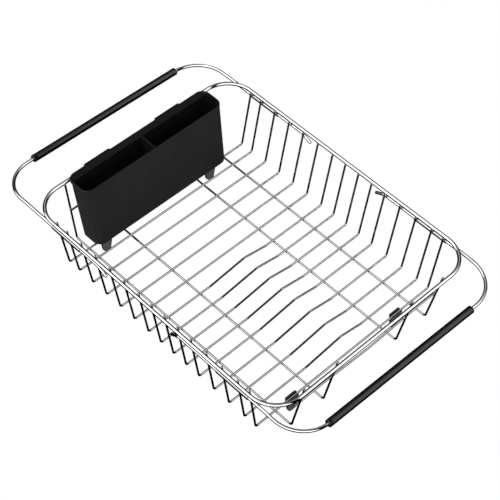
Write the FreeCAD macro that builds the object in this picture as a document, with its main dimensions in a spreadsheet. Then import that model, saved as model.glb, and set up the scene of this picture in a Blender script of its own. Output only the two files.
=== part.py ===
import FreeCAD, Part
import Sketcher
import os
import re
from math import cos, radians, sin, tan
from FreeCAD import Placement, Rotation, Vector

# Dish drying rack with two sliding arms, millimetres.
# +X runs along the rack, away from the end where the utensil holder hangs.
# +Y runs across the rack, +Z is up, and the four feet stand on z = 0.

doc = FreeCAD.newDocument("dish_rack")

# ---------------------------------------------------------------- dimensions
SIZES = {
    # rim: the thick closed wire round the top, sizes to its centre line
    "rim_length": 425.2,
    "rim_width": 335.2,
    "rim_corner": 40.0,
    "rim_wire": 5.0,
    "rim_height": 107.3,
    # thin wires of the basket
    "wire": 2.7,
    "weld": 0.15,
    "sleeve_weld": 0.02,
    "sleeve_gap": 0.26,
    "wire_bend": 4.5,
    "tip_rise": 1.6,
    # floor, its height and the walls' lean taken at the wires' centre lines
    "floor_height": 21.5,
    "side_lean": 17.3,
    "end_lean": 18.8,
    # where the cross wires stand along the rack, and the floor wires across it
    "end_inset": 4.62,
    "end_pitch": 18.9,
    "plate_pitch": 22.54,
    "row_inset": 10.6,
    "row_pitch": 53.6,
    # ridges that keep plates apart
    "ridge_rise": 7.5,
    "ridge_peak": 11.5,
    "ridge_inset": 14.4,
    "ridge_bend": 6.0,
    # rails halfway up the end walls
    "rail_height": 68.8,
    "rail_bow": 2.5,
    "rail_overhang": 1.5,
    # sleeves under the rim that guide the arms
    "slide_gap": 0.5,
    "sleeve_wall": 0.55,
    "sleeve_overhang": 3.3,
    # sliding arms
    "arm_rod": 4.3,
    "arm_corner": 45.0,
    "arm_drop": 3.5,
    "arm_slant": 2.6,
    "long_leg": 200.9,
    "short_leg": 188.9,
    "stop_length": 16.0,
    "stop_angle": 28.0,
    "stop_bend": 6.0,
    "knee_setback": 8.0,
    "knee_bend": 60.0,
    "left_out": 62.7,
    "right_out": 43.9,
    # grips
    "grip_wall": 2.85,
    "grip_margin": 2.6,
    "grip_shift": 6.0,
    "grip_round": 1.5,
    # feet, clipped on the two end cross wires
    "foot_inset": 26.4,
    "foot_length": 19.0,
    "foot_taper": 7.4,
    "foot_thick": 8.0,
    "foot_thinning": 0.5,
    "foot_cap": 3.0,
    "foot_web": 3.5,
    "foot_round": 2.5,
    # utensil holder, outside sizes of its top and its base
    "holder_length": 231.6,
    "holder_width": 31.8,
    "base_length": 225.0,
    "base_width": 31.4,
    "holder_shift": 5.0,
    "base_shift": 2.0,
    "holder_corner": 12.0,
    "back_corner": 4.5,
    "holder_wall": 1.8,
    "holder_floor": 2.0,
    "holder_lift": 0.4,
    "holder_clear": 0.4,
    "rim_gap": 0.3,
    "lip_rise": 3.0,
    "lip_reach": 0.6,
    "lip_overhang": 7.45,
    "divider": 1.8,
    "divider_drop": 0.6,
    "dish_depth": 2.2,
    "lip_edge": 1.2,
    "hook_length": 40.5,
    "hook_spacing": 118.0,
    "hook_shift": -0.2,
    "hook_thick": 1.8,
    "hook_depth": 10.0,
    "drain_length": 14.0,
    "drain_width": 4.0,
    "drain_pitch": 24.0,
}

sheet = doc.addObject("Spreadsheet::Sheet", "Sizes")
for row, (alias, size) in enumerate(SIZES.items(), start=1):
    sheet.set("A%d" % row, alias)
    sheet.set("B%d" % row, str(size))
    sheet.setAlias("B%d" % row, alias)
doc.recompute()


def value(formula):
    """The number that a formula of the sheet's aliases gives now."""
    return float(sheet.evalExpression(str(formula)))


def linked(formula):
    """The same formula, written so that any object can hold it."""
    def name(word):
        found = word.group()
        return "Sizes." + found if found in SIZES else found
    return re.sub(r"[a-z_]+", name, str(formula))


# Formulas that several pieces share, each written once.
REST_HEIGHT = "(floor_height - wire + weld)"
TIP_HEIGHT = "(rim_height + tip_rise)"
WALL_TOP = "(rim_width / 2 - rim_wire / 2 - wire / 2 + weld)"
WALL_FOOT = "(rim_width / 2 - side_lean)"
END_TOP = "(rim_length / 2 - rim_wire / 2 - wire / 2 + weld)"
END_FOOT = "(rim_length / 2 - end_lean)"
END_SLOPE = f"(({END_TOP} - {END_FOOT}) / ({TIP_HEIGHT} - {REST_HEIGHT}))"
RAIL_PLACE = f"({END_FOOT} + {END_SLOPE} * (rail_height - {REST_HEIGHT}) - wire + weld)"
OUTER_ROW = "(rim_width / 2 - rim_corner - row_inset)"
INNER_ROW = f"({OUTER_ROW} - row_pitch)"
FOOT_ROW = f"({OUTER_ROW} - foot_inset)"
HALF_SPAN = "(rim_length / 2 - rim_corner - end_inset)"
PLAIN_PITCH = f"(({HALF_SPAN} - end_pitch - 2 * plate_pitch) / 4)"
SLEEVE_BORE = "(arm_rod + 2 * slide_gap)"
SLEEVE_OUTER = f"({SLEEVE_BORE} + 2 * sleeve_wall)"
SLEEVE_HEIGHT = f"(rim_height - rim_wire / 2 - {SLEEVE_OUTER} / 2 + sleeve_weld)"
WALL_SLOPE = f"(({WALL_TOP} - {WALL_FOOT}) / ({TIP_HEIGHT} - floor_height))"
WALL_AT_SLEEVE = f"({WALL_TOP} - {WALL_SLOPE} * ({TIP_HEIGHT} - {SLEEVE_HEIGHT}))"
SLEEVE_ROW = f"({WALL_AT_SLEEVE} + wire / 2 + sleeve_gap + {SLEEVE_OUTER} / 2)"
SLEEVE_LENGTH = f"(end_pitch + {PLAIN_PITCH} + 2 * sleeve_overhang)"
SLEEVE_START = f"({HALF_SPAN} + sleeve_overhang - {SLEEVE_LENGTH})"
LEFT_REACH = "(rim_length / 2 + left_out)"
RIGHT_REACH = "(rim_length / 2 + right_out)"
GRIP_LENGTH = f"(2 * {SLEEVE_ROW} - 2 * arm_corner - 2 * grip_margin)"
HOLDER_TOP = "(rim_height + rim_wire / 2 + rim_gap + lip_rise)"
HOLDER_BASE = "(floor_height + foot_cap + holder_lift)"
HOLDER_BACK = f"({END_TOP} - wire / 2 - holder_clear)"
BACK_AT_RAIL = f"({RAIL_PLACE} - wire / 2 - holder_clear)"
BACK_SLOPE = f"(({HOLDER_BACK} - {BACK_AT_RAIL}) / ({HOLDER_TOP} - rail_height))"
BASE_BACK = f"({HOLDER_BACK} - {BACK_SLOPE} * ({HOLDER_TOP} - {HOLDER_BASE}))"


def wire_places():
    """Where the fifteen cross wires stand along X, as formulas."""
    steps = ["end_pitch"] + [PLAIN_PITCH] * 5 + ["plate_pitch"] * 4
    steps += [PLAIN_PITCH] * 3 + ["end_pitch"]
    places = ["-" + HALF_SPAN]
    for step in steps:
        places.append(places[-1] + " + " + step)
    return places


CROSS_PLACES = wire_places()
RIDGED = range(6, 14)       # cross wires 7 to 14 have a plate ridge


# ------------------------------------------------------------------- helpers
parts = []


def keep(obj, label):
    """Name a finished sub-part and list it for writing."""
    obj.Label = label
    parts.append(obj)
    return obj


def new_body(label):
    body = doc.addObject("PartDesign::Body", label)
    return body


def plane_of(body, role):
    for feature in body.Origin.OriginFeatures:
        if feature.Role == role:
            return feature
    raise ValueError("no plane " + role)


def new_sketch(body, role, name, offset=None):
    """A sketch on one of the body's own planes, moved along its normal."""
    sketch = body.newObject("Sketcher::SketchObject", name)
    sketch.AttachmentSupport = [(plane_of(body, role), "")]
    sketch.MapMode = "FlatFace"
    if offset is not None:
        sketch.setExpression(".AttachmentOffset.Base.z", linked(offset))
    return sketch


def set_size(sketch, index, formula):
    sketch.setExpression("Constraints[%d]" % index, linked(formula))


def fix_point(sketch, geometry, end, across, up):
    """Place one point of a sketch from two formulas."""
    for kind, formula in (("DistanceX", across), ("DistanceY", up)):
        index = sketch.addConstraint(
            Sketcher.Constraint(kind, -1, 1, geometry, end, value(formula)))
        set_size(sketch, index, formula)


def draw_route(sketch, corners, radii):
    """Draw a wire's centre line: straight runs through corners, rounded by arcs."""
    points = [Vector(value(across), value(up), 0) for across, up in corners]
    starts, ends, arcs = [points[0]], [], []
    for before, corner, after, radius in zip(points, points[1:], points[2:], radii):
        inward = (before - corner).normalize()
        outward = (after - corner).normalize()
        half = inward.getAngle(outward) / 2
        size = value(radius)
        setback = size / (sin(half) / cos(half))
        middle = (inward + outward).normalize()
        centre = corner + middle * (size / sin(half))
        first, last = corner + inward * setback, corner + outward * setback
        arcs.append(Part.Arc(first, centre - middle * size, last))
        ends.append(first)
        starts.append(last)
    ends.append(points[-1])
    lines = [sketch.addGeometry(Part.LineSegment(a, b)) for a, b in zip(starts, ends)]
    bends = []
    for number, arc in enumerate(arcs):
        bend = sketch.addGeometry(arc)
        bends.append(bend)
        touches_first = (sketch.getPoint(bend, 1) - ends[number]).Length < 0.001
        near, far = (1, 2) if touches_first else (2, 1)
        sketch.addConstraint(
            Sketcher.Constraint("Tangent", lines[number], 2, bend, near))
        sketch.addConstraint(
            Sketcher.Constraint("Tangent", bend, far, lines[number + 1], 1))
        index = sketch.addConstraint(
            Sketcher.Constraint("Radius", bend, value(radii[number])))
        set_size(sketch, index, radii[number])
    for number, (across, up) in enumerate(corners[1:-1]):
        mark = sketch.addGeometry(Part.Point(points[number + 1]), True)
        fix_point(sketch, mark, 1, across, up)
        sketch.addConstraint(
            Sketcher.Constraint("PointOnObject", mark, 1, lines[number]))
        sketch.addConstraint(
            Sketcher.Constraint("PointOnObject", mark, 1, lines[number + 1]))
    fix_point(sketch, lines[0], 1, *corners[0])
    fix_point(sketch, lines[-1], 2, *corners[-1])


def draw_polygon(sketch, corners):
    """Draw a closed outline with sharp corners."""
    points = [Vector(value(across), value(up), 0) for across, up in corners]
    sides = [sketch.addGeometry(Part.LineSegment(a, b))
             for a, b in zip(points, points[1:] + points[:1])]
    for number, (across, up) in enumerate(corners):
        fix_point(sketch, sides[number], 1, across, up)
        sketch.addConstraint(
            Sketcher.Constraint("Coincident", sides[number - 1], 2, sides[number], 1))


def draw_circle(sketch, diameter, across="0", up="0"):
    centre = Vector(value(across), value(up), 0)
    circle = sketch.addGeometry(Part.Circle(centre, Vector(0, 0, 1), value(diameter) / 2))
    fix_point(sketch, circle, 3, across, up)
    index = sketch.addConstraint(Sketcher.Constraint("Diameter", circle, value(diameter)))
    set_size(sketch, index, diameter)


def sweep_rod(label, role, offset, corners, radii, diameter):
    """A bent round wire: a circle set square to a flat rounded route and swept along it."""
    body = new_body(label)
    route = new_sketch(body, role, label + "_path", offset)
    draw_route(route, corners, radii)
    doc.recompute()
    section = body.newObject("Sketcher::SketchObject", label + "_ring")
    section.AttachmentSupport = [(route, "Edge1")]
    section.MapMode = "NormalToEdge"
    draw_circle(section, diameter)
    rod = body.newObject("PartDesign::AdditivePipe", label + "_rod")
    rod.Profile = section
    rod.Spine = route
    body.Tip = rod
    return keep(body, label)


def round_box(left, right, low, high):
    """Corners of a closed rectangle that starts and ends halfway along a side."""
    middle = f"(({left}) + ({right})) / 2"
    return [(middle, low), (right, low), (right, high), (left, high), (left, low), (middle, low)]


# ------------------------------------------------------------ basket of wire
def make_rim():
    corners = round_box("-rim_length / 2", "rim_length / 2", "-rim_width / 2", "rim_width / 2")
    sweep_rod("rim", "XY_Plane", "rim_height", corners, ["rim_corner"] * 4, "rim_wire")


def make_cross_wire(number, place, ridged):
    """One U-shaped wire across the rack, with or without a plate ridge."""
    corners = [
        (WALL_TOP, TIP_HEIGHT),
        (WALL_FOOT, "floor_height"),
        ("-" + WALL_FOOT, "floor_height"),
        ("-" + WALL_TOP, TIP_HEIGHT)]
    radii = ["wire_bend", "wire_bend"]
    if ridged:
        corners[2:2] = [
            (f"{INNER_ROW} - ridge_inset", "floor_height"),
            ("ridge_peak", "floor_height + ridge_rise"),
            (f"-({INNER_ROW} - ridge_inset)", "floor_height")]
        radii[1:1] = ["ridge_bend"] * 3
    sweep_rod("cross_wire_%02d" % number, "YZ_Plane", place, corners, radii, "wire")


def make_floor_wire(label, row):
    """One wire along the rack, under the cross wires and up both ends."""
    corners = [
        ("-" + END_TOP, TIP_HEIGHT),
        ("-" + END_FOOT, REST_HEIGHT),
        (END_FOOT, REST_HEIGHT),
        (END_TOP, TIP_HEIGHT)]
    sweep_rod(label, "XZ_Plane", f"-({row})", corners, ["wire_bend"] * 2, "wire")


def make_end_rail(label, side):
    """A rail inside the upright ends of the floor wires, bowed out in the middle."""
    end = f"({OUTER_ROW} + wire / 2 + rail_overhang)"
    place = f"{side} * {RAIL_PLACE}"
    corners = [
        (place, "-" + end),
        (place, "-" + INNER_ROW),
        (f"{place} + {side} * rail_bow", "0"),
        (place, INNER_ROW),
        (place, end)]
    bend = f"0.6 * {INNER_ROW} * {INNER_ROW} / rail_bow"
    sweep_rod(label, "XY_Plane", "rail_height", corners, [bend] * 3, "wire")


def make_sleeve(label, start, row):
    """A short tube along X, welded under the rim, that guides one arm leg."""
    body = new_body(label)
    section = new_sketch(body, "YZ_Plane", label + "_ring", start)
    draw_circle(section, SLEEVE_OUTER, row, SLEEVE_HEIGHT)
    draw_circle(section, SLEEVE_BORE, row, SLEEVE_HEIGHT)
    tube = body.newObject("PartDesign::Pad", label + "_tube")
    tube.Profile = section
    tube.setExpression("Length", linked(SLEEVE_LENGTH))
    body.Tip = tube
    keep(body, label)


# -------------------------------------------------------------- sliding arms
def bent_rod(points, radii, diameter):
    """A round rod along straight runs in space, its corners rounded by arcs."""
    edges, start = [], points[0]
    for before, corner, after, radius in zip(points, points[1:], points[2:], radii):
        inward = (before - corner).normalize()
        outward = (after - corner).normalize()
        half = inward.getAngle(outward) / 2
        first = corner + inward * (radius / tan(half))
        last = corner + outward * (radius / tan(half))
        middle = (inward + outward).normalize()
        crown = corner + middle * (radius / sin(half) - radius)
        edges.append(Part.LineSegment(start, first).toShape())
        edges.append(Part.Arc(first, crown, last).toShape())
        start = last
    edges.append(Part.LineSegment(start, points[-1]).toShape())
    along = (points[1] - points[0]).normalize()
    ring = Part.Wire([Part.makeCircle(diameter / 2, points[0], along)])
    return Part.Wire(edges).makePipeShell([ring], True, False)


def make_arm(label, reach, turn):
    """One U-shaped arm. Both arms are the same piece, one turned half round.

    In its own frame the legs lie at height 0 and the crossbar is over x = 0.
    The crossbar end dips and is slightly out of square, and each leg ends in
    a stop bent down.
    """
    row = value(SLEEVE_ROW)
    drop = value("arm_drop")
    slant = value("arm_slant")
    knee = -value("arm_corner + knee_setback")
    stop = value("stop_length")
    angle = radians(value("stop_angle"))
    long_end, short_end = -value("long_leg"), -value("short_leg")
    tip = Vector(-stop * cos(angle), 0, -stop * sin(angle))
    points = [
        Vector(long_end, -row, 0) + tip,
        Vector(long_end, -row, 0),
        Vector(knee - slant, -row, 0),
        Vector(-slant, -row, -drop),
        Vector(slant, row, -drop),
        Vector(knee + slant, row, 0),
        Vector(short_end, row, 0),
        Vector(short_end, row, 0) + tip]
    half_radii = [value("stop_bend"), value("knee_bend"), value("arm_corner")]
    arm = doc.addObject("Part::Feature", label)
    arm.Shape = bent_rod(points, half_radii + half_radii[::-1], value("arm_rod"))
    place = Vector(value(reach), 0, value(SLEEVE_HEIGHT))
    arm.Placement = Placement(place, Rotation(Vector(0, 0, 1), turn))
    keep(arm, label)


def make_grip(label, reach, shift):
    """A soft tube over an arm's crossbar, its ends rounded."""
    body = new_body(label)
    section = new_sketch(body, "XZ_Plane", label + "_ring")
    draw_circle(section, "arm_rod + 2 * grip_wall")
    draw_circle(section, "arm_rod")
    tube = body.newObject("PartDesign::Pad", label + "_tube")
    tube.Profile = section
    tube.Midplane = True
    tube.setExpression("Length", linked(GRIP_LENGTH))
    body.Tip = tube
    doc.recompute()
    rings = ["Edge%d" % (number + 1) for number, edge in enumerate(tube.Shape.Edges)
             if isinstance(edge.Curve, Part.Circle)
             and edge.Curve.Radius > value("arm_rod")]
    rounded = body.newObject("PartDesign::Fillet", label + "_ends")
    rounded.Base = (tube, rings)
    rounded.setExpression("Radius", linked("grip_round"))
    body.Tip = rounded
    slope = f"(arm_slant / {SLEEVE_ROW})"
    body.Placement = Placement(Vector(0, 0, 0), Rotation(Vector(0, 0, -1), 1))
    body.setExpression(".Placement.Rotation.Angle", linked(f"atan({slope})"))
    body.setExpression(".Placement.Base.x", linked(f"{reach} + {shift} * {slope}"))
    body.setExpression(".Placement.Base.y", linked(shift))
    body.setExpression(".Placement.Base.z", linked(f"{SLEEVE_HEIGHT} - arm_drop"))
    keep(body, label)


# ---------------------------------------------------------------------- feet
def make_foot(label, place, row):
    """A clip on an end cross wire: two plates joined at the ground, where it is narrower."""
    body = new_body(label)
    sections = []
    top = "floor_height + foot_cap"
    for level, thinning, taper in (("0", "foot_thinning", "foot_taper"), (top, "0", "0")):
        across = f"(foot_thick - {thinning}) / 2"
        along = f"(foot_length - {taper}) / 2"
        section = new_sketch(body, "XY_Plane", label + "_section", level)
        outline = round_box(
            f"{place} - {across}", f"{place} + {across}",
            f"{row} - {along}", f"{row} + {along}")
        draw_route(section, outline, ["foot_round"] * 4)
        sections.append(section)
    block = body.newObject("PartDesign::AdditiveLoft", label + "_block")
    block.Profile = sections[0]
    block.Sections = sections[1:]
    body.Tip = block
    doc.recompute()
    slot = new_sketch(body, "XZ_Plane", label + "_slot", f"-({row})")
    above = "floor_height + 2 * foot_cap"
    draw_polygon(slot, [
        (f"{place} - wire / 2", "foot_web"),
        (f"{place} + wire / 2", "foot_web"),
        (f"{place} + wire / 2", above),
        (f"{place} - wire / 2", above)])
    cut = body.newObject("PartDesign::Pocket", label + "_cut")
    cut.Profile = slot
    cut.Midplane = True
    cut.setExpression("Length", linked("2 * foot_length"))
    body.Tip = cut
    keep(body, label)


# ------------------------------------------------------------ utensil holder
def holder_outline(body, name, level, back, front, centre, length, inset, behind="back_corner"):
    """A rounded rectangle across the holder; inset makes it smaller all round."""
    sketch = new_sketch(body, "XY_Plane", name, level)
    outline = round_box(
        f"-({back}) + {inset}", f"-({front}) - {inset}",
        f"{centre} - {length} / 2 + {inset}", f"{centre} + {length} / 2 - {inset}")
    radii = [f"holder_corner - {inset}"] * 2 + [f"{behind} - {inset}"] * 2
    draw_route(sketch, outline, radii)
    return sketch


def make_holder():
    """A two-compartment tub that leans with the end wall and hooks on the rim."""
    body = new_body("utensil_holder")
    base_front = f"({BASE_BACK} - base_width)"
    top_front = f"({HOLDER_BACK} - holder_width)"
    base = (BASE_BACK, base_front, "base_shift", "base_length")
    top = (HOLDER_BACK, top_front, "holder_shift", "holder_length")

    outside = body.newObject("PartDesign::AdditiveLoft", "tub_outside")
    outside.Profile = holder_outline(body, "tub_base", HOLDER_BASE, *base, "0")
    outside.Sections = [holder_outline(body, "tub_top", HOLDER_TOP, *top, "0")]
    body.Tip = outside
    doc.recompute()

    lip_start = f"{HOLDER_TOP} - lip_rise"
    edge = new_sketch(body, "XY_Plane", "lip_outline", lip_start)
    half = "holder_length / 2 + lip_reach"
    outline = round_box(
        f"-({HOLDER_BACK}) - lip_overhang", f"-{top_front} + lip_reach",
        f"holder_shift - {half}", f"holder_shift + {half}")
    draw_route(edge, outline, ["holder_corner + lip_reach"] * 4)
    lip = body.newObject("PartDesign::Pad", "lip")
    lip.Profile = edge
    lip.setExpression("Length", linked("lip_rise"))
    body.Tip = lip

    hook_inside = "(rim_length / 2 + rim_wire / 2 + rim_gap)"
    for number, side in enumerate(("-1", "1")):
        hook = new_sketch(body, "XZ_Plane", "hook_profile")
        hook.setExpression(
            ".AttachmentOffset.Base.z", linked(f"-(hook_shift + {side} * hook_spacing / 2)"))
        outer = f"-({hook_inside} + hook_thick)"
        inner = f"-{hook_inside}"
        root = f"-({HOLDER_BACK} + lip_overhang - hook_thick)"
        over = f"({lip_start} + hook_thick)"
        profile = [
            (root, over), (outer, over), (outer, f"{over} - hook_depth"),
            (inner, f"{over} - hook_depth"), (inner, lip_start), (root, lip_start)]
        draw_polygon(hook, profile)
        tab = body.newObject("PartDesign::Pad", "hook_%d" % number)
        tab.Profile = hook
        tab.Midplane = True
        tab.setExpression("Length", linked("hook_length"))
        body.Tip = tab

    inside = body.newObject("PartDesign::SubtractiveLoft", "tub_inside")
    inside.Profile = holder_outline(
        body, "well_base", f"{HOLDER_BASE} + holder_floor", *base, "holder_wall")
    inside.Sections = [holder_outline(body, "well_top", HOLDER_TOP, *top, "holder_wall")]
    body.Tip = inside

    # behind the well the lip is dished, down to its own outer edge
    dish = body.newObject("PartDesign::SubtractiveLoft", "lip_dish")
    dish_back = f"({HOLDER_BACK} + lip_overhang - lip_edge + holder_wall)"
    dish.Profile = holder_outline(
        body, "dish_base", f"{HOLDER_TOP} - dish_depth", *top, "holder_wall")
    dish.Sections = [holder_outline(
        body, "dish_top", HOLDER_TOP, dish_back, *top[1:], "holder_wall", "holder_corner")]
    body.Tip = dish

    web = new_sketch(body, "XZ_Plane", "divider_profile", "-holder_shift")
    sunk = "holder_wall / 2"
    crest = f"({HOLDER_TOP} - divider_drop)"
    crest_back = f"(-{HOLDER_BACK} - lip_overhang + lip_edge)"
    profile = [
        (f"-{BASE_BACK} + {sunk}", f"{HOLDER_BASE} + holder_floor / 2"),
        (f"-{base_front} - {sunk}", f"{HOLDER_BASE} + holder_floor / 2"),
        (f"-{top_front} - {sunk}", crest),
        (crest_back, crest),
        (f"-{HOLDER_BACK} + {sunk}", f"{HOLDER_TOP} - dish_depth - holder_wall / 4")]
    draw_polygon(web, profile)
    divider = body.newObject("PartDesign::Pad", "divider_wall")
    divider.Profile = web
    divider.Midplane = True
    divider.setExpression("Length", linked("divider"))
    body.Tip = divider

    drains = new_sketch(body, "XY_Plane", "drain_slots", f"{HOLDER_BASE} - holder_floor")
    middle = f"(-({BASE_BACK} + {base_front}) / 2)"
    for step in (-3.5, -2.5, -1.5, -0.5, 0.5, 1.5, 2.5, 3.5):
        row = f"(holder_shift + base_shift) / 2 + {step} * drain_pitch"
        draw_polygon(drains, [
            (f"{middle} - drain_length / 2", f"{row} - drain_width / 2"),
            (f"{middle} + drain_length / 2", f"{row} - drain_width / 2"),
            (f"{middle} + drain_length / 2", f"{row} + drain_width / 2"),
            (f"{middle} - drain_length / 2", f"{row} + drain_width / 2")])
    cut = body.newObject("PartDesign::Pocket", "drains")
    cut.Profile = drains
    cut.Reversed = True
    cut.setExpression("Length", linked("3 * holder_floor"))
    body.Tip = cut
    keep(body, "utensil_holder")


# ----------------------------------------------------------------- the whole
make_rim()
for wire_number, wire_place in enumerate(CROSS_PLACES):
    make_cross_wire(wire_number + 1, wire_place, wire_number in RIDGED)
for row_name, row_place in (
        ("far_outer", OUTER_ROW), ("far_inner", INNER_ROW),
        ("near_inner", "-" + INNER_ROW), ("near_outer", "-" + OUTER_ROW)):
    make_floor_wire("floor_wire_" + row_name, row_place)
make_end_rail("left_end_rail", "-1")
make_end_rail("right_end_rail", "1")
for end_name, sleeve_start in (
        ("left", f"-({SLEEVE_START} + {SLEEVE_LENGTH})"), ("right", SLEEVE_START)):
    for side_name, side_sign in (("far", "1"), ("near", "-1")):
        make_sleeve(f"{end_name}_{side_name}_sleeve", sleeve_start, f"{side_sign} * {SLEEVE_ROW}")
make_arm("left_arm", "-" + LEFT_REACH, 180)
make_arm("right_arm", RIGHT_REACH, 0)
make_grip("left_grip", "-" + LEFT_REACH, "grip_shift")
make_grip("right_grip", RIGHT_REACH, "-grip_shift")
for end_name, end_sign in (("left", "-1"), ("right", "1")):
    for side_name, side_sign in (("far", "1"), ("near", "-1")):
        make_foot(
            f"{end_name}_{side_name}_foot",
            f"{end_sign} * {HALF_SPAN}", f"{side_sign} * {FOOT_ROW}")
make_holder()

# ------------------------------------------------------------ check and write
doc.recompute()
for item in doc.Objects:
    if "Invalid" in item.State or "Error" in item.State:
        raise RuntimeError("%s did not build: %s" % (item.Label, item.State))
for item in parts:
    if item.Shape.isNull() or not item.Shape.isValid() or not item.Shape.Solids:
        raise RuntimeError("%s has no valid solid" % item.Label)
os.makedirs("parts", exist_ok=True)
for item in parts:
    item.Shape.exportStep("parts/%s.step" % item.Label)
print("wrote %d parts" % len(parts))
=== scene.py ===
from math import atan2, cos, degrees, pi, radians, sin, tan

import bmesh
import bpy
from mathutils import Matrix, Vector


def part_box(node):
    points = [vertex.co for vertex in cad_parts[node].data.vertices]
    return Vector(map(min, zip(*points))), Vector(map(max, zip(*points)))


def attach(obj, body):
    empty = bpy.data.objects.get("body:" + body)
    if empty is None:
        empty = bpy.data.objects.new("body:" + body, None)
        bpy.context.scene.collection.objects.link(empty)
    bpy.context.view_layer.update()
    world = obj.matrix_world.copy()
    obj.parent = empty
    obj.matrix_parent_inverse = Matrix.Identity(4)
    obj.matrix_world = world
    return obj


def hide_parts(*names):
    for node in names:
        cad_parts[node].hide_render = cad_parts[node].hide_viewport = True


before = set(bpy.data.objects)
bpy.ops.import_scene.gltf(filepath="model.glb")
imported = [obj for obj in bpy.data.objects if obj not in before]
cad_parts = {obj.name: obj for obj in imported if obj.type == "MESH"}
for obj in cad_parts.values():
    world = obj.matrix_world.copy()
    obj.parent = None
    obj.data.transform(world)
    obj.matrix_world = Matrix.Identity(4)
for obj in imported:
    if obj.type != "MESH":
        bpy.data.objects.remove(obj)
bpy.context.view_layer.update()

# Sizes in metres, in the CAD's own frame: x runs to the right end, y to the far side
# and z up from the ground. A size called HALF is measured from the middle.
MM = 0.001
SMOOTH_RUN = 12 * MM  # longest straight run of a rod without a ring of points

# the rim and the welded wires
RIM_HALF_LENGTH = 212.6 * MM
RIM_HALF_WIDTH = 167.6 * MM
RIM_CORNER = 40 * MM
RIM_RADIUS = 2.5 * MM
RIM_HEIGHT = 107.3 * MM
WIRE_RADIUS = 1.35 * MM
WIRE_BEND = 4.5 * MM
WELD = 0.15 * MM  # how far welded wires sink into each other
TIP_HEIGHT = 108.9 * MM
FLOOR_HEIGHT = 21.5 * MM
REST_HEIGHT = FLOOR_HEIGHT - 2 * WIRE_RADIUS + WELD
WALL_TOP = RIM_HALF_WIDTH - RIM_RADIUS - WIRE_RADIUS + WELD
WALL_FOOT = 150.3 * MM
END_TOP = RIM_HALF_LENGTH - RIM_RADIUS - WIRE_RADIUS + WELD
END_FOOT = 193.8 * MM
END_SLOPE = (END_TOP - END_FOOT) / (TIP_HEIGHT - REST_HEIGHT)
INNER_ROW = 63.4 * MM
OUTER_ROW = 117 * MM
RIDGE_FOOT = 49 * MM
RIDGE_PEAK = 11.5 * MM
RIDGE_RISE = 7.5 * MM
RIDGE_BEND = 6 * MM
RAIL_HEIGHT = 68.8 * MM
RAIL_BOW = 2.5 * MM
RAIL_PLACE = END_FOOT + END_SLOPE * (RAIL_HEIGHT - REST_HEIGHT) - 2 * WIRE_RADIUS + WELD

# weld nuggets, each the half sizes of a squashed ball
FLOOR_NUGGET = (1.25 * MM, 1.25 * MM, 0.55 * MM)
TIP_NUGGET = (0.75 * MM, 1.5 * MM, 1.9 * MM)  # through, along and up the rim
RAIL_NUGGET = (0.5 * MM, 1.2 * MM, 1.2 * MM)
SLEEVE_NUGGET = (2.2 * MM, 1.1 * MM, 0.5 * MM)
SLEEVE_NUGGETS = (0.12, 0.5, 0.88)  # places as shares of a sleeve's length
NUGGET_SINK = 0.1 * MM
NUGGET_DROP = 0.4 * MM

# sleeves, arms and grips
SLEEVE_BORE = 2.65 * MM  # radius
SLEEVE_EDGE = 0.2 * MM
SLEEVE_SIDES = 32
ARM_RADIUS = 2.15 * MM
ARM_CORNER = 45 * MM
ARM_KNEE = 53 * MM
ARM_DROP = 3.5 * MM
ARM_SLANT = 2.6 * MM
LONG_LEG = 200.9 * MM
SHORT_LEG = 188.9 * MM
KNEE_BEND = 60 * MM
STOP_LENGTH = 16 * MM
STOP_ANGLE = radians(28)
STOP_BEND = 6 * MM
GRIP_RADIUS = 5 * MM
GRIP_LIP = 1.5 * MM
GRIP_BORE_EDGE = 0.5 * MM
GRIP_GAP = 0.02 * MM
GRIP_RIPPLE = 0.03 * MM
GRIP_WAVES = 7
GRIP_STEPS = 40  # along the grip and round it

# the clip-on feet
FOOT_TAPER = 3.7 * MM
FOOT_THINNING = 0.25 * MM
FOOT_WEB = 3.5 * MM
FOOT_CORNER = 2.5 * MM
FOOT_BASE_EDGE = 0.6 * MM
FOOT_TOP_EDGE = 0.7 * MM
FOOT_SLOT = WIRE_RADIUS + 0.2 * MM  # half the slot's width near the top
FOOT_FLARE = 0.7 * MM
SMALL_CORNER_STEPS = 6

# the utensil holder
HOLDER_DEPTH = 31.8 * MM
HOLDER_BACK = -207.15 * MM
HOLDER_NEAR = -110.8 * MM
HOLDER_FAR = 120.8 * MM
BASE_DEPTH = 31.4 * MM
BASE_NEAR = -110.5 * MM
BASE_FAR = 114.5 * MM
BASE_EDGE = 2.5 * MM
HOLDER_CORNER = 12 * MM
BACK_CORNER = 4.5 * MM
CORNER_STEPS = 10
HOLDER_WALL = 1.8 * MM
HOLDER_FLOOR = 2 * MM
LIP_RISE = 3 * MM
LIP_REACH = 0.6 * MM
LIP_OVERHANG = 7.45 * MM
LIP_EDGE = 1.2 * MM
LIP_CROWN = 1.6 * MM
LIP_UNDER_EDGE = 0.3 * MM
LIP_INNER_EDGE = 0.4 * MM
DISH_DEPTH = 2.2 * MM
DRAIN_COUNT = 8
DRAIN_PITCH = 24 * MM
DRAIN_SHIFT = 3.5 * MM
DRAIN_LENGTH = 14 * MM
DRAIN_WIDTH = 4 * MM
DIVIDER_SHIFT = 5 * MM
DIVIDER_THICK = 1.8 * MM
DIVIDER_DROP = 0.6 * MM
HOOK_LENGTH = 40.5 * MM
HOOK_SPACING = 118 * MM
HOOK_SHIFT = -0.2 * MM
HOOK_THICK = 1.8 * MM
HOOK_DROP = 10 * MM
HOOK_BEND = 0.7 * MM

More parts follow.
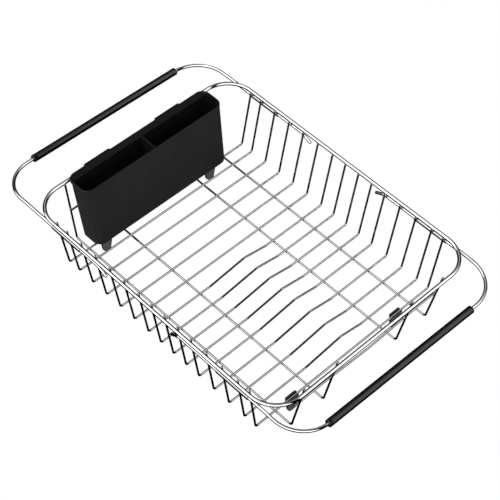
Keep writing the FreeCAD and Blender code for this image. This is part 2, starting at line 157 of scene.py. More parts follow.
# the camera
CAMERA_AZIMUTH = radians(44.1)
CAMERA_ELEVATION = radians(50.622)
CAMERA_ROLL = radians(2.412)
CAMERA_DISTANCE = 1985.1 * MM
CAMERA_TARGET = Vector((-26 * MM, 28 * MM, 24.3 * MM))
CAMERA_LENS = 112.47

# the room that reflections see: each pair is where a panel's edge starts and ends,
# as a part of a direction between -1 and 1
FLOOR_HALF_SIZE = 20
PANEL_TILT = 0.07
PANEL_FOOT = (0.02, 0.16)
PANEL_HEAD = (0.91, 0.96)
PANEL_BACK = (-0.56, -0.46)
OVERHEAD = (0.62, 0.74)
SIDE_FADE = (0.55, 0.8)
GAP_NEAR = (-0.08, 0.02)
GAP_FAR = (0.32, 0.40)
GAP_EAST = (0.1, 0.25)
PANEL_LEVELS = (2.6, 1.9)  # brightness at the two sides
OVERHEAD_LEVEL = 0.25
SIDE_LEVEL = 0.3
DIM = 0.10  # brightness that lights the matt surfaces

CROSS_WIRES = ["cross_wire_%02d" % n for n in range(1, 16)]
RIDGED_WIRES = CROSS_WIRES[6:14]
SLEEVES = ["left_far_sleeve", "left_near_sleeve", "right_far_sleeve", "right_near_sleeve"]
FEET = ["left_far_foot", "left_near_foot", "right_far_foot", "right_near_foot"]
FLOOR_ROWS = {
    "floor_wire_far_outer": OUTER_ROW,
    "floor_wire_far_inner": INNER_ROW,
    "floor_wire_near_inner": -INNER_ROW,
    "floor_wire_near_outer": -OUTER_ROW,
}


# ---------------------------------------------------------------- materials
class Nodes:
    """One material's nodes: patches of noise on its values and layers of relief."""

    def __init__(self, name, **constants):
        self.material = bpy.data.materials.new(name)
        self.material.use_nodes = True
        self.tree = self.material.node_tree
        self.shader = self.tree.nodes["Principled BSDF"]
        for socket, value in constants.items():
            self.shader.inputs[socket.replace("_", " ")].default_value = value
        coordinates = self.tree.nodes.new("ShaderNodeTexCoord")
        self.place = coordinates.outputs["Object"]
        self.normal = None

    def link(self, start, end):
        self.tree.links.new(start, end)

    def noise(self, scale, detail, rough, stretch=(1, 1, 1)):
        mapping = self.tree.nodes.new("ShaderNodeMapping")
        mapping.inputs["Scale"].default_value = stretch
        self.link(self.place, mapping.inputs["Vector"])
        node = self.tree.nodes.new("ShaderNodeTexNoise")
        node.inputs["Scale"].default_value = scale
        node.inputs["Detail"].default_value = detail
        node.inputs["Roughness"].default_value = rough
        self.link(mapping.outputs["Vector"], node.inputs["Vector"])
        return node.outputs["Fac"]

    def mottle(self, socket, low, high, scale, detail=4, rough=0.55, edges=(0.3, 0.7)):
        """Feed a shader socket with noise between two levels or colours."""
        node = self.tree.nodes.new("ShaderNodeValToRGB")
        for point, position, level in zip(node.color_ramp.elements, edges, (low, high)):
            point.position = position
            colour = level if isinstance(level, tuple) else (level,) * 3
            point.color = (*colour, 1)
        self.link(self.noise(scale, detail, rough), node.inputs["Fac"])
        self.link(node.outputs["Color"], self.shader.inputs[socket])

    def relief(self, strength, depth, scale, detail=3, rough=0.55, stretch=(1, 1, 1)):
        """Lay bumps of noise over the relief so far."""
        node = self.tree.nodes.new("ShaderNodeBump")
        node.inputs["Strength"].default_value = strength
        node.inputs["Distance"].default_value = depth
        self.link(self.noise(scale, detail, rough, stretch), node.inputs["Height"])
        if self.normal is not None:
            self.link(self.normal, node.inputs["Normal"])
        self.normal = node.outputs["Normal"]
        self.link(self.normal, self.shader.inputs["Normal"])


def polished_steel(name, tone, haze):
    """Bright drawn wire: small changes of tone, faint haze and die marks."""
    n = Nodes(name, Metallic=1.0)
    darker = tuple(part * 0.9 for part in tone)
    n.mottle("Base Color", darker, tone, scale=55, detail=3, edges=(0.35, 0.65))
    n.mottle("Roughness", *haze, scale=240, detail=5, rough=0.65, edges=(0.3, 0.75))
    n.relief(strength=0.04, depth=0.03 * MM, scale=900, detail=2)
    n.relief(strength=0.06, depth=0.08 * MM, scale=60, detail=2)
    return n.material


def weld_steel():
    """Melted metal at the spot welds, greyer and rougher than the wires."""
    n = Nodes("weld_steel", Metallic=1.0)
    n.mottle("Base Color", (0.30, 0.29, 0.28), (0.62, 0.62, 0.63), scale=600)
    n.mottle("Roughness", 0.22, 0.42, scale=400)
    n.relief(strength=0.5, depth=0.1 * MM, scale=1500)
    return n.material


def moulded_plastic():
    """Black polypropylene with a fine spark texture and faint flow marks."""
    n = Nodes("black_polypropylene", Specular_IOR_Level=0.22)
    n.mottle("Base Color", (0.033, 0.033, 0.0335), (0.041, 0.041, 0.0415), scale=28)
    n.mottle("Roughness", 0.42, 0.54, scale=420, edges=(0.3, 0.75))
    n.relief(strength=0.12, depth=0.4 * MM, scale=35, detail=2, rough=0.4, stretch=(1, 0.25, 1))
    n.relief(strength=0.22, depth=0.05 * MM, scale=2600, rough=0.6)
    return n.material


def grip_rubber():
    """Black silicone sleeve: fine pores, faint rings and patches of tone."""
    n = Nodes("grip_silicone", Specular_IOR_Level=0.55)
    n.mottle("Base Color", (0.0035, 0.0035, 0.0037), (0.0060, 0.0060, 0.0062), scale=45, detail=5)
    n.mottle("Roughness", 0.10, 0.15, scale=130, detail=5)
    n.relief(strength=0.12, depth=0.2 * MM, scale=120, detail=2, rough=0.5, stretch=(1, 3, 1))
    n.relief(strength=0.30, depth=0.08 * MM, scale=1800, detail=4, rough=0.7)
    return n.material


def foot_rubber():
    """Dark grey moulded foot with patches of tone and a fine grain."""
    n = Nodes("foot_rubber")
    n.mottle("Base Color", (0.10, 0.10, 0.101), (0.15, 0.15, 0.151), scale=90, detail=5)
    n.mottle("Roughness", 0.30, 0.44, scale=260)
    n.relief(strength=0.25, depth=0.08 * MM, scale=1400, rough=0.6)
    return n.material


def floor_paper():
    """A white floor that gives off its own light, with faint mottling below it."""
    n = Nodes("studio_floor", Emission_Color=(1, 1, 1, 1), Emission_Strength=0.98,
              Roughness=0.9, Specular_IOR_Level=0.0)
    n.mottle("Base Color", 0.28, 0.30, scale=3, detail=3)
    return n.material


RIM_STEEL = polished_steel("rim_steel", (0.86, 0.86, 0.87), haze=(0.02, 0.05))
WIRE_STEEL = polished_steel("wire_steel", (0.46, 0.46, 0.465), haze=(0.04, 0.08))
ARM_STEEL = polished_steel("arm_steel", (0.84, 0.84, 0.85), haze=(0.02, 0.05))
WELD_STEEL = weld_steel()
PLASTIC = moulded_plastic()
GRIP = grip_rubber()
FOOT = foot_rubber()


# ------------------------------------------------------------ mesh building
def smooth_shading(bm, sharp):
    """Smooth faces, with creases only where they turn by more than sharp degrees."""
    for face in bm.faces:
        face.smooth = True
    for edge in bm.edges:
        if len(edge.link_faces) == 2 and edge.calc_face_angle(0) > radians(sharp):
            edge.smooth = False


def object_from(name, bm, material=None):
    """Turn a bmesh into an object of the scene."""
    mesh = bpy.data.meshes.new(name)
    bm.to_mesh(mesh)
    bm.free()
    if material is not None:
        mesh.materials.append(material)
    piece = bpy.data.objects.new(name, mesh)
    bpy.context.scene.collection.objects.link(piece)
    return piece


def finish_mesh(name, bm, material, body, nodes, sharp=35):
    """Turn a bmesh into a piece that rides on a body and stands for CAD nodes."""
    bmesh.ops.remove_doubles(bm, verts=bm.verts, dist=1e-7)
    bmesh.ops.recalc_face_normals(bm, faces=bm.faces)
    smooth_shading(bm, sharp)
    piece = object_from(name, bm, material)
    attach(piece, body)
    if nodes:
        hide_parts(*nodes)


def join_rings(bm, first, second):
    """Faces between two rings of the same number of points."""
    for number in range(len(first)):
        after = (number + 1) % len(first)
        bm.faces.new((first[number], first[after], second[after], second[number]))


def close_ends(bm, rings):
    bm.faces.new(rings[0])
    bm.faces.new(list(reversed(rings[-1])))


def turns(count):
    """Angles at even steps round a circle."""
    return [2 * pi * number / count for number in range(count)]


def low_edge(start, size, steps):
    """(place, inset) along a rounded edge that begins at start."""
    angles = [pi / 2 * number / steps for number in range(steps + 1)]
    return [(start + size - size * cos(a), size - size * sin(a)) for a in angles]


def high_edge(end, size, steps):
    """(place, inset) along a rounded edge that finishes at end."""
    angles = [pi / 2 * number / steps for number in range(steps + 1)]
    return [(end - size + size * sin(a), size - size * cos(a)) for a in angles]


def rounded_route(corners, radii, closed=False, step=5):
    """Points along straight runs whose corners are rounded by arcs."""
    count = len(corners)
    points = []
    for index, corner in enumerate(corners):
        if not closed and index in (0, count - 1):
            points.append(corner.copy())
            continue
        before, after = corners[index - 1], corners[(index + 1) % count]
        radius = radii[index if closed else index - 1]
        inward, outward = (before - corner).normalized(), (after - corner).normalized()
        half = inward.angle(outward) / 2
        centre = corner + (inward + outward).normalized() * (radius / sin(half))
        first = corner + inward * (radius / tan(half))
        turn = pi - 2 * half
        pieces = max(2, round(degrees(turn) / step))
        axis = inward.cross(outward).normalized()
        for part in range(pieces + 1):
            spin = Matrix.Rotation(-turn * part / pieces, 3, axis)
            points.append(centre + spin @ (first - centre))
    return points


def split_long_runs(points, longest, closed=False):
    """Add points along long runs, so that shading stays even."""
    result = []
    ends = points[1:] + (points[:1] if closed else [])
    for start, end in zip(points, ends):
        steps = max(1, round((end - start).length / longest))
        result += [start.lerp(end, part / steps) for part in range(steps)]
    return result if closed else result + [points[-1]]


def add_tube(bm, route, radius, closed=False, sides=20, rounding=0.35):
    """A round rod along a route, with its two ends rounded over."""
    route = split_long_runs(route, SMOOTH_RUN, closed)
    count = len(route)
    tangents = []
    for index, point in enumerate(route):
        before = route[index - 1] if closed or index else point
        after = route[(index + 1) % count] if closed or index < count - 1 else point
        tangents.append((after - before).normalized())
    guide = Vector((0, 0, 1)) if abs(tangents[0].z) < 0.8 else Vector((1, 0, 0))
    side = tangents[0].cross(guide).normalized()
    rings, sides_at = [], []
    for tangent in tangents:
        side = (side - tangent * side.dot(tangent)).normalized()
        sides_at.append(side.copy())

    def ring(centre, tangent, across, size):
        up = tangent.cross(across)
        return [bm.verts.new(centre + (across * cos(a) + up * sin(a)) * size)
                for a in turns(sides)]

    cap = low_edge(0, radius * rounding, 4)
    if not closed:
        for along, inset in cap:
            centre = route[0] + tangents[0] * along
            rings.append(ring(centre, tangents[0], sides_at[0], radius - inset))
    for index, (point, tangent, across) in enumerate(zip(route, tangents, sides_at)):
        if closed or 0 < index < count - 1:
            rings.append(ring(point, tangent, across, radius))
    if not closed:
        for along, inset in reversed(cap):
            centre = route[-1] - tangents[-1] * along
            rings.append(ring(centre, tangents[-1], sides_at[-1], radius - inset))
    for low, high in zip(rings, rings[1:]):
        join_rings(bm, low, high)
    if closed:
        join_rings(bm, rings[-1], rings[0])
    else:
        close_ends(bm, rings)


def rod_piece(name, node, corners, radii, radius, material, body="basket",
              closed=False, sides=20, rounding=0.35):
    bm = bmesh.new()
    add_tube(bm, rounded_route(corners, radii, closed), radius, closed, sides, rounding)
    finish_mesh(name, bm, material, body, [node])


def centre_x(node):
    low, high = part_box(node)
    return (low.x + high.x) / 2


# ---------------------------------------------------------- basket of wire
def make_rim():
    length, width = RIM_HALF_LENGTH, RIM_HALF_WIDTH
    corners = [Vector((x, y, RIM_HEIGHT))
               for x, y in ((length, width), (-length, width), (-length, -width), (length, -width))]
    rod_piece("rim_rod", "rim", corners, [RIM_CORNER] * 4, RIM_RADIUS, RIM_STEEL,
              closed=True, sides=32)


def cross_corners(x, ridged):
    flat = [(WALL_TOP, TIP_HEIGHT), (WALL_FOOT, FLOOR_HEIGHT),
            (-WALL_FOOT, FLOOR_HEIGHT), (-WALL_TOP, TIP_HEIGHT)]
    radii = [WIRE_BEND] * 2
    if ridged:
        flat[2:2] = [(RIDGE_FOOT, FLOOR_HEIGHT), (RIDGE_PEAK, FLOOR_HEIGHT + RIDGE_RISE),
                     (-RIDGE_FOOT, FLOOR_HEIGHT)]
        radii[1:1] = [RIDGE_BEND] * 3
    return [Vector((x, y, z)) for y, z in flat], radii


def make_basket_wires():
    for node in CROSS_WIRES:
        corners, radii = cross_corners(centre_x(node), node in RIDGED_WIRES)
        rod_piece(node + "_rod", node, corners, radii, WIRE_RADIUS, WIRE_STEEL)
    for node, row in FLOOR_ROWS.items():
        flat = [(-END_TOP, TIP_HEIGHT), (-END_FOOT, REST_HEIGHT),
                (END_FOOT, REST_HEIGHT), (END_TOP, TIP_HEIGHT)]
        corners = [Vector((x, row, z)) for x, z in flat]
        rod_piece(node + "_rod", node, corners, [WIRE_BEND] * 2, WIRE_RADIUS, WIRE_STEEL)
    for node, side in (("left_end_rail", -1), ("right_end_rail", 1)):
        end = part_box(node)[1].y
        flat = [(0, -end), (0, -INNER_ROW), (RAIL_BOW, 0), (0, INNER_ROW), (0, end)]
        corners = [Vector((side * (RAIL_PLACE + x), y, RAIL_HEIGHT)) for x, y in flat]
        # wide bends, which nearly meet between the rows and turn the bow into one curve
        bend = 0.6 * INNER_ROW ** 2 / RAIL_BOW
        rod_piece(node + "_rod", node, corners, [bend] * 3, WIRE_RADIUS, WIRE_STEEL)


def make_sleeves():
    """Tubes under the rim, their cut ends softened inside and out."""
    for node in SLEEVES:
        low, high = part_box(node)
        centre = (low + high) / 2
        outer, edge = (high.z - low.z) / 2, SLEEVE_EDGE
        profile = [(low.x, SLEEVE_BORE + edge), (low.x, outer - edge), (low.x + edge, outer),
                   (high.x - edge, outer), (high.x, outer - edge), (high.x, SLEEVE_BORE + edge),
                   (high.x - edge, SLEEVE_BORE), (low.x + edge, SLEEVE_BORE)]
        bm = bmesh.new()
        rings = [[bm.verts.new((x, centre.y + size * cos(a), centre.z + size * sin(a)))
                  for a in turns(SLEEVE_SIDES)] for x, size in profile]
        for first, second in zip(rings, rings[1:] + rings[:1]):
            join_rings(bm, first, second)
        finish_mesh(node + "_tube", bm, WIRE_STEEL, "basket", [node])


# ------------------------------------------------------------- weld nuggets
def add_nugget(bm, place, size):
    """A squashed bead of melted metal."""
    matrix = Matrix.Translation(place) @ Matrix.Diagonal((*size, 1))
    bmesh.ops.create_uvsphere(bm, u_segments=14, v_segments=9, radius=1, matrix=matrix)


def make_welds():
    """Spot welds where floor wires cross, and where tips, rails and sleeves are joined."""
    bm = bmesh.new()
    contact = FLOOR_HEIGHT - WIRE_RADIUS + WELD / 2
    for node in CROSS_WIRES:
        for row in FLOOR_ROWS.values():
            add_nugget(bm, (centre_x(node), row, contact), FLOOR_NUGGET)
    finish_mesh("floor_welds", bm, WELD_STEEL, "basket", [])

    bm = bmesh.new()
    through, along, tall = TIP_NUGGET
    tip_height = RIM_HEIGHT - NUGGET_DROP
    wall_tip = RIM_HALF_WIDTH - RIM_RADIUS + NUGGET_SINK
    end_tip = RIM_HALF_LENGTH - RIM_RADIUS + NUGGET_SINK
    for node in CROSS_WIRES:
        for side in (-1, 1):
            add_nugget(bm, (centre_x(node), side * wall_tip, tip_height), (along, through, tall))
    for row in FLOOR_ROWS.values():
        for side in (-1, 1):
            add_nugget(bm, (side * end_tip, row, tip_height), TIP_NUGGET)
            add_nugget(bm, (side * (RAIL_PLACE + WIRE_RADIUS), row, RAIL_HEIGHT), RAIL_NUGGET)
    for node in SLEEVES:
        low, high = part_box(node)
        for share in SLEEVE_NUGGETS:
            x = low.x + (high.x - low.x) * share
            add_nugget(bm, (x, (low.y + high.y) / 2, high.z), SLEEVE_NUGGET)
    finish_mesh("rim_welds", bm, WELD_STEEL, "basket", [])


# ------------------------------------------------------------- sliding arms
def make_arm(side, turn):
    """A U-shaped arm with dipped, slightly slanted crossbar and down-turned stops."""
    node, body = side + "_arm", side + "_slider"
    sleeve_low, sleeve_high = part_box(side + "_far_sleeve")
    row = (sleeve_low.y + sleeve_high.y) / 2
    height = (sleeve_low.z + sleeve_high.z) / 2
    low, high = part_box(side + "_grip")
    reach = (low.x + high.x) / 2 - ARM_SLANT / row * (low.y + high.y) / 2
    stop = Vector((-STOP_LENGTH * cos(STOP_ANGLE), 0, -STOP_LENGTH * sin(STOP_ANGLE)))
    long_end, short_end = Vector((-LONG_LEG, -row, 0)), Vector((-SHORT_LEG, row, 0))
    corners = [
        long_end + stop, long_end,
        Vector((-ARM_KNEE - ARM_SLANT, -row, 0)), Vector((-ARM_SLANT, -row, -ARM_DROP)),
        Vector((ARM_SLANT, row, -ARM_DROP)), Vector((-ARM_KNEE + ARM_SLANT, row, 0)),
        short_end, short_end + stop]
    half = [STOP_BEND, KNEE_BEND, ARM_CORNER]
    radii = half + half[::-1]
    place = Matrix.Translation((reach, 0, height)) @ Matrix.Rotation(radians(turn), 4, "Z")
    corners = [place @ corner for corner in corners]
    rod_piece(node + "_rod", node, corners, radii, ARM_RADIUS, ARM_STEEL, body,
              sides=28, rounding=0.8)


def make_grip(side):
    """A soft sleeve with rounded lips at both ends."""
    node, body = side + "_grip", side + "_slider"
    low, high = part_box(node)
    centre = (low + high) / 2
    sleeve_low, sleeve_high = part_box(side + "_far_sleeve")
    lean = atan2(ARM_SLANT, (sleeve_low.y + sleeve_high.y) / 2)
    half = ((high.y - low.y) / 2 - GRIP_RADIUS * sin(lean)) / cos(lean)
    near, far = centre.y - half, centre.y + half
    outer, inner = GRIP_RADIUS, ARM_RADIUS + GRIP_GAP
    big, small = GRIP_LIP, GRIP_BORE_EDGE
    profile = [(y, outer - inset) for y, inset in low_edge(near, big, 6)]
    span = far - near - 2 * big
    for number in range(1, GRIP_STEPS):
        y = near + big + span * number / GRIP_STEPS
        ripple = GRIP_RIPPLE * (1 - cos(2 * pi * number * GRIP_WAVES / GRIP_STEPS)) / 2
        profile.append((y, outer - ripple))
    profile += [(y, outer - inset) for y, inset in high_edge(far, big, 6)]
    bevel = [small * sin(radians(angle)) for angle in (0, 30, 60, 90)]
    profile += [(far - cut, inner + small - cut) for cut in bevel]
    profile += [(near + cut, inner + small - cut) for cut in reversed(bevel)]
    bm = bmesh.new()
    rings = [[bm.verts.new((centre.x + size * cos(a), y, centre.z + size * sin(a)))
              for a in turns(GRIP_STEPS)] for y, size in profile]
    for first, second in zip(rings, rings[1:] + rings[:1]):
        join_rings(bm, first, second)
    bmesh.ops.rotate(bm, cent=centre, matrix=Matrix.Rotation(-lean, 3, "Z"), verts=bm.verts)
    finish_mesh(node + "_sleeve", bm, GRIP, body, [node], sharp=50)


# ------------------------------------------------------------ rounded blocks
def rounded_outline(x0, x1, y0, y1, radius, steps, behind=None):
    """Corner-rounded rectangle as a list of (x, y); behind is the radius at x0."""
    back = radius if behind is None else behind
    corners = [(x1 - radius, y1 - radius, radius), (x0 + back, y1 - back, back),
               (x0 + back, y0 + back, back), (x1 - radius, y0 + radius, radius)]
    outline = []
    for quarter, (middle_x, middle_y, size) in enumerate(corners):
        for number in range(steps + 1):
            a = radians(90 * quarter + 90 * number / steps)
            outline.append((middle_x + size * cos(a), middle_y + size * sin(a)))
    return outline


def loft(bm, outlines):
    """Join outlines of equal length, given as (outline, height), and close both ends."""
    rings = [[bm.verts.new((x, y, z)) for x, y in outline] for outline, z in outlines]
    for low, high in zip(rings, rings[1:]):
        join_rings(bm, low, high)
    close_ends(bm, rings[::-1])


def cut_away(piece, cutters):
    """Subtract closed meshes from a piece and keep the result."""
    for cutter in cutters:
        modifier = piece.modifiers.new("cut", "BOOLEAN")
        modifier.operation = "DIFFERENCE"
        modifier.solver = "EXACT"
        modifier.object = cutter
    bpy.context.view_layer.update()
    graph = bpy.context.evaluated_depsgraph_get()
    mesh = bpy.data.meshes.new_from_object(piece.evaluated_get(graph))
    piece.modifiers.clear()
    old = piece.data
    piece.data = mesh
    bpy.data.meshes.remove(old)
    for cutter in cutters:
        data = cutter.data
        bpy.data.objects.remove(cutter)
        bpy.data.meshes.remove(data)


def closed_object(name, bm, material=None):
    """An object whose faces all point outwards, ready for cutting."""
    bmesh.ops.recalc_face_normals(bm, faces=bm.faces)
    return object_from(name, bm, material)


def shade(piece):
    """Join the points that a cut leaves doubled, then shade the piece smoothly."""
    bm = bmesh.new()
    bm.from_mesh(piece.data)
    bmesh.ops.remove_doubles(bm, verts=bm.verts, dist=1e-6)
    for edge in bm.edges:
        edge.smooth = True
    smooth_shading(bm, 35)
    bm.to_mesh(piece.data)
    bm.free()


def make_foot(node):
    """A clip of two plates, open at the top, with softened edges."""
    low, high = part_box(node)

    def section(z, inset):
        share = 1 - z / high.z
        across = FOOT_THINNING * share + inset
        along = FOOT_TAPER * share + inset
        radius = max(FOOT_CORNER - inset, 1 * MM)
        return rounded_outline(low.x + across, high.x - across,
                               low.y + along, high.y - along, radius, SMALL_CORNER_STEPS)

    body_low, body_high = FOOT_BASE_EDGE, high.z - FOOT_TOP_EDGE
    levels = low_edge(0, FOOT_BASE_EDGE, 3)
    levels += [(body_low + (body_high - body_low) * share, 0) for share in (0.25, 0.5, 0.75)]
    levels += high_edge(high.z, FOOT_TOP_EDGE, 4)
    bm = bmesh.new()
    loft(bm, [(section(z, inset), z) for z, inset in levels])
    piece = closed_object(node + "_clip", bm, FOOT)

    # the slot: narrow round the wire, a little wider above it and flared at the top
    middle = (low.x + high.x) / 2
    half = [(FOOT_WEB + 1 * MM, WIRE_RADIUS), (FLOOR_HEIGHT + 1 * MM, WIRE_RADIUS),
            (high.z - FOOT_FLARE, FOOT_SLOT), (high.z + 1 * MM, FOOT_SLOT + FOOT_FLARE)]
    profile = [(-half[0][1], half[0][0]), (0, FOOT_WEB)]
    profile += [(x, z) for z, x in half]
    profile += [(-x, z) for z, x in reversed(half[1:])]
    bm = bmesh.new()
    rings = [[bm.verts.new((middle + x, y, z)) for x, z in profile]
             for y in (low.y - 2 * MM, high.y + 2 * MM)]
    join_rings(bm, *rings)
    close_ends(bm, rings)
    cut_away(piece, [closed_object("slot_cut", bm)])
    shade(piece)
    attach(piece, "basket")
    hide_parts(node)


# ----------------------------------------------------------- utensil holder
class HolderShape:
    """The holder's levels and outlines, which its tub, divider and hooks share."""

    def __init__(self):
        self.low, self.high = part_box("utensil_holder")
        self.top, self.base = self.high.z, self.low.z
        self.under = self.top - LIP_RISE
        self.floor_top = self.base + HOLDER_FLOOR
        self.front_top = HOLDER_BACK + HOLDER_DEPTH
        self.front_base = self.high.x
        self.back_base = self.front_base - BASE_DEPTH
        self.lip_back = HOLDER_BACK - LIP_OVERHANG
        self.dish_reach = LIP_OVERHANG - LIP_EDGE

    def between(self, z, bottom, upper):
        """A size at height z of something that changes evenly from base to top."""
        return bottom + (upper - bottom) * (z - self.base) / (self.top - self.base)

    def wall(self, z, inset, behind=BACK_CORNER):
        """The sloping wall's outline at height z."""
        return rounded_outline(
            self.between(z, self.back_base, HOLDER_BACK) + inset,
            self.between(z, self.front_base, self.front_top) - inset,
            self.between(z, BASE_NEAR, HOLDER_NEAR) + inset,
            self.between(z, BASE_FAR, HOLDER_FAR) - inset,
            HOLDER_CORNER - inset, CORNER_STEPS, max(behind - inset, 1 * MM))

    def lip(self, inset):
        """The lip's outline, wider than the wall and reaching back over the rim."""
        return rounded_outline(
            self.lip_back + inset, self.front_top + LIP_REACH - inset,
            HOLDER_NEAR - LIP_REACH + inset, HOLDER_FAR + LIP_REACH - inset,
            HOLDER_CORNER + LIP_REACH - inset, CORNER_STEPS)

    def dish(self, z, inset):
        """The well's outline, reaching further back where the lip is dished."""
        share = max(0, 1 - (self.top - z) / DISH_DEPTH)
        reach = (self.dish_reach + HOLDER_WALL) * share
        outline = self.wall(z, inset, BACK_CORNER + (HOLDER_CORNER - BACK_CORNER) * share)
        middle = HOLDER_BACK + HOLDER_DEPTH / 2
        return [(x - reach if x < middle else x, y) for x, y in outline]


def make_tub(shape):
    """The tapered tub with its lip, dished well and drain slots."""
    top, under = shape.top, shape.under
    layers = [(shape.wall(z, inset), z) for z, inset in low_edge(shape.base, BASE_EDGE, 4)]
    shares = (0.2, 0.4, 0.6, 0.8)
    start = shape.base + BASE_EDGE
    heights = [start + (under - start) * share for share in (*shares, 1)]
    layers += [(shape.wall(z, 0), z) for z in heights]
    layers += [(shape.lip(inset), z) for z, inset in low_edge(under, LIP_UNDER_EDGE, 2)]
    layers += [(shape.lip(inset), z) for z, inset in high_edge(top, LIP_CROWN, 3)]
    for z, inset in reversed(high_edge(top, LIP_INNER_EDGE, 3)):
        layers.append((shape.dish(z, HOLDER_WALL - inset), z))
    layers.append((shape.dish(top - DISH_DEPTH / 2, HOLDER_WALL), top - DISH_DEPTH / 2))
    layers.append((shape.wall(top - DISH_DEPTH, HOLDER_WALL), top - DISH_DEPTH))
    start, end = top - DISH_DEPTH - LIP_INNER_EDGE, shape.floor_top + BASE_EDGE
    heights = [start + (end - start) * share for share in shares]
    layers += [(shape.wall(z, HOLDER_WALL), z) for z in heights]
    for z, inset in reversed(low_edge(shape.floor_top, BASE_EDGE, 3)):
        layers.append((shape.wall(z, HOLDER_WALL + inset), z))
    bm = bmesh.new()
    loft(bm, layers)
    tub = closed_object("utensil_holder_tub", bm, PLASTIC)

    cutters = []
    middle = (shape.back_base + shape.front_base) / 2
    half_length, half_width = DRAIN_LENGTH / 2, DRAIN_WIDTH / 2
    for step in range(DRAIN_COUNT):
        y = DRAIN_SHIFT + (step - (DRAIN_COUNT - 1) / 2) * DRAIN_PITCH
        outline = rounded_outline(
            middle - half_length, middle + half_length, y - half_width, y + half_width,
            half_width - 0.01 * MM, SMALL_CORNER_STEPS)
        bm = bmesh.new()
        loft(bm, [(outline, shape.base - 2 * MM), (outline, shape.base + 5 * MM)])
        cutters.append(closed_object("drain_cut", bm))
    cut_away(tub, cutters)
    shade(tub)
    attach(tub, "holder")
    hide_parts("utensil_holder")


def make_divider(shape):
    """The wall between the compartments, its top rounded and run back over the dish."""
    half = DIVIDER_THICK / 2
    crest = shape.top - DIVIDER_DROP
    shoulder = shape.top - DISH_DEPTH - LIP_INNER_EDGE
    layers = []
    for z, thin in ((shape.floor_top - 0.5 * MM, half), (shoulder, half), (crest - half / 2, half),
                    (crest - 0.15 * half, 0.75 * half), (crest, 0.35 * half)):
        x0 = shape.between(z, shape.back_base, HOLDER_BACK) + HOLDER_WALL / 2
        if z > shoulder:
            x0 -= shape.dish_reach * (z - shoulder) / (crest - shoulder)
        x1 = shape.between(z, shape.front_base, shape.front_top) - HOLDER_WALL / 2
        y0, y1 = DIVIDER_SHIFT - thin, DIVIDER_SHIFT + thin
        layers.append(([(x0, y0), (x1, y0), (x1, y1), (x0, y1)], z))
    bm = bmesh.new()
    loft(bm, layers)
    finish_mesh("utensil_holder_divider", bm, PLASTIC, "holder", [])


def make_hook(shape, number, y):
    """A tab over the rim, with rounded corners and a bent-over profile."""
    thick, outer, under = HOOK_THICK, shape.low.x, shape.under
    drop = under + thick - HOOK_DROP
    inside = shape.lip_back + thick
    profile = [(inside, under + thick)]
    profile += [(outer + inset, z) for z, inset in reversed(high_edge(under + thick, HOOK_BEND, 3))]
    profile += [(outer, drop + thick / 2), (outer + thick * 0.15, drop + thick * 0.15),
                (outer + thick / 2, drop), (outer + thick * 0.85, drop + thick * 0.15),
                (outer + thick, drop + thick / 2), (outer + thick, under), (inside, under)]
    bm = bmesh.new()
    rows = []
    # towards each end of the tab its lower corners lift, so that they look rounded
    for share, lift in ((-1, 0.5 * MM), (-0.985, 0.175 * MM), (-0.95, 0),
                        (0.95, 0), (0.985, 0.175 * MM), (1, 0.5 * MM)):
        rows.append([bm.verts.new((x, y + share * HOOK_LENGTH / 2, z + lift * (z < drop + thick)))
                     for x, z in profile])
    for first, second in zip(rows, rows[1:]):
        join_rings(bm, first, second)
    close_ends(bm, rows)
    finish_mesh("utensil_holder_hook_%d" % number, bm, PLASTIC, "holder", [])


def make_holder():
    shape = HolderShape()
    make_tub(shape)
    make_divider(shape)
    make_hook(shape, 1, HOOK_SHIFT - HOOK_SPACING / 2)
    make_hook(shape, 2, HOOK_SHIFT + HOOK_SPACING / 2)


# ------------------------------------------------------------------- studio
def make_studio():
    bm = bmesh.new()
    bmesh.ops.create_grid(bm, x_segments=2, y_segments=2, size=FLOOR_HALF_SIZE)
    floor = object_from("studio_floor", bm, floor_paper())
    floor.visible_glossy = False
    make_world()


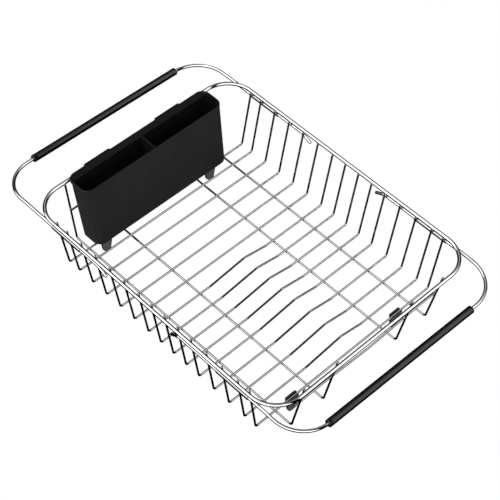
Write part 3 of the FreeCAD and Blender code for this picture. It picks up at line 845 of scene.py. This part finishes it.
def make_world():
    """White to the camera, bright panels to reflections and dim to everything else."""
    world = bpy.data.worlds.new("studio")
    world.use_nodes = True
    bpy.context.scene.world = world
    tree = world.node_tree
    tree.nodes.clear()
    add, link = tree.nodes.new, tree.links.new

    def combine(operation, first, second):
        node = add("ShaderNodeMath")
        node.operation = operation
        for socket, term in zip(node.inputs, (first, second)):
            if isinstance(term, (int, float)):
                socket.default_value = term
            else:
                link(term, socket)
        return node.outputs["Value"]

    def remap(term, low, high, start, end):
        node = add("ShaderNodeMapRange")
        for name, level in (("From Min", low), ("From Max", high), ("To Min", start), ("To Max", end)):
            node.inputs[name].default_value = level
        link(term, node.inputs["Value"])
        return node.outputs["Result"]

    split = add("ShaderNodeSeparateXYZ")
    link(add("ShaderNodeTexCoord").outputs["Generated"], split.inputs["Vector"])
    east, north, up = (split.outputs[axis] for axis in "XYZ")
    sideways = combine("ADD", east, north)
    towards = combine("SUBTRACT", east, north)
    tilted = combine("ADD", up, combine("MULTIPLY", sideways, PANEL_TILT))
    # bright round the camera's side, dark low down, straight overhead and beyond the rack
    panel = remap(tilted, *PANEL_FOOT, 0, 1)
    panel = combine("MULTIPLY", panel, remap(tilted, *PANEL_HEAD, 1, 0))
    behind = combine("MAXIMUM", remap(towards, *PANEL_BACK, 0, 1),
                     remap(up, *OVERHEAD, 0, OVERHEAD_LEVEL))
    panel = combine("MULTIPLY", panel, behind)
    panel = combine("MULTIPLY", panel, remap(sideways, -1, 1, *PANEL_LEVELS))
    panel = combine("MULTIPLY", panel, remap(north, *SIDE_FADE, 1, SIDE_LEVEL))
    # a dark gap between the two panels at the right
    gap = combine("MULTIPLY", remap(north, *GAP_NEAR, 0, 1), remap(north, *GAP_FAR, 1, 0))
    gap = combine("MULTIPLY", gap, remap(east, *GAP_EAST, 0, 1))
    panel = combine("MULTIPLY", panel, combine("SUBTRACT", 1.0, gap))
    path = add("ShaderNodeLightPath")

    def background(level):
        node = add("ShaderNodeBackground")
        if isinstance(level, float):
            node.inputs["Strength"].default_value = level
        else:
            link(level, node.inputs["Strength"])
        return node.outputs["Background"]

    def mix(factor, first, second):
        node = add("ShaderNodeMixShader")
        link(factor, node.inputs["Fac"])
        link(first, node.inputs[1])
        link(second, node.inputs[2])
        return node.outputs["Shader"]

    lit = mix(path.outputs["Is Glossy Ray"], background(DIM), background(panel))
    seen = mix(path.outputs["Is Camera Ray"], lit, background(1.0))
    link(seen, add("ShaderNodeOutputWorld").inputs["Surface"])


def make_camera():
    level = cos(CAMERA_ELEVATION)
    ahead = Vector((-sin(CAMERA_AZIMUTH) * level, cos(CAMERA_AZIMUTH) * level,
                    -sin(CAMERA_ELEVATION)))
    right = Vector((cos(CAMERA_AZIMUTH), sin(CAMERA_AZIMUTH), 0))
    up = right.cross(ahead)
    rolled_right = right * cos(CAMERA_ROLL) + up * sin(CAMERA_ROLL)
    rolled_up = -right * sin(CAMERA_ROLL) + up * cos(CAMERA_ROLL)
    data = bpy.data.cameras.new("camera")
    data.sensor_width = 36
    data.lens = CAMERA_LENS
    data.clip_end = 100
    camera = bpy.data.objects.new("camera", data)
    axes = Matrix((rolled_right, rolled_up, -ahead)).transposed().to_4x4()
    camera.matrix_world = Matrix.Translation(CAMERA_TARGET - ahead * CAMERA_DISTANCE) @ axes
    bpy.context.scene.collection.objects.link(camera)
    bpy.context.scene.camera = camera


make_rim()
make_basket_wires()
make_sleeves()
make_welds()
make_arm("left", 180)
make_arm("right", 0)
make_grip("left")
make_grip("right")
for foot in FEET:
    make_foot(foot)
make_holder()
make_studio()
make_camera()
view = bpy.context.scene.view_settings
view.view_transform = "Standard"
view.look = "None"
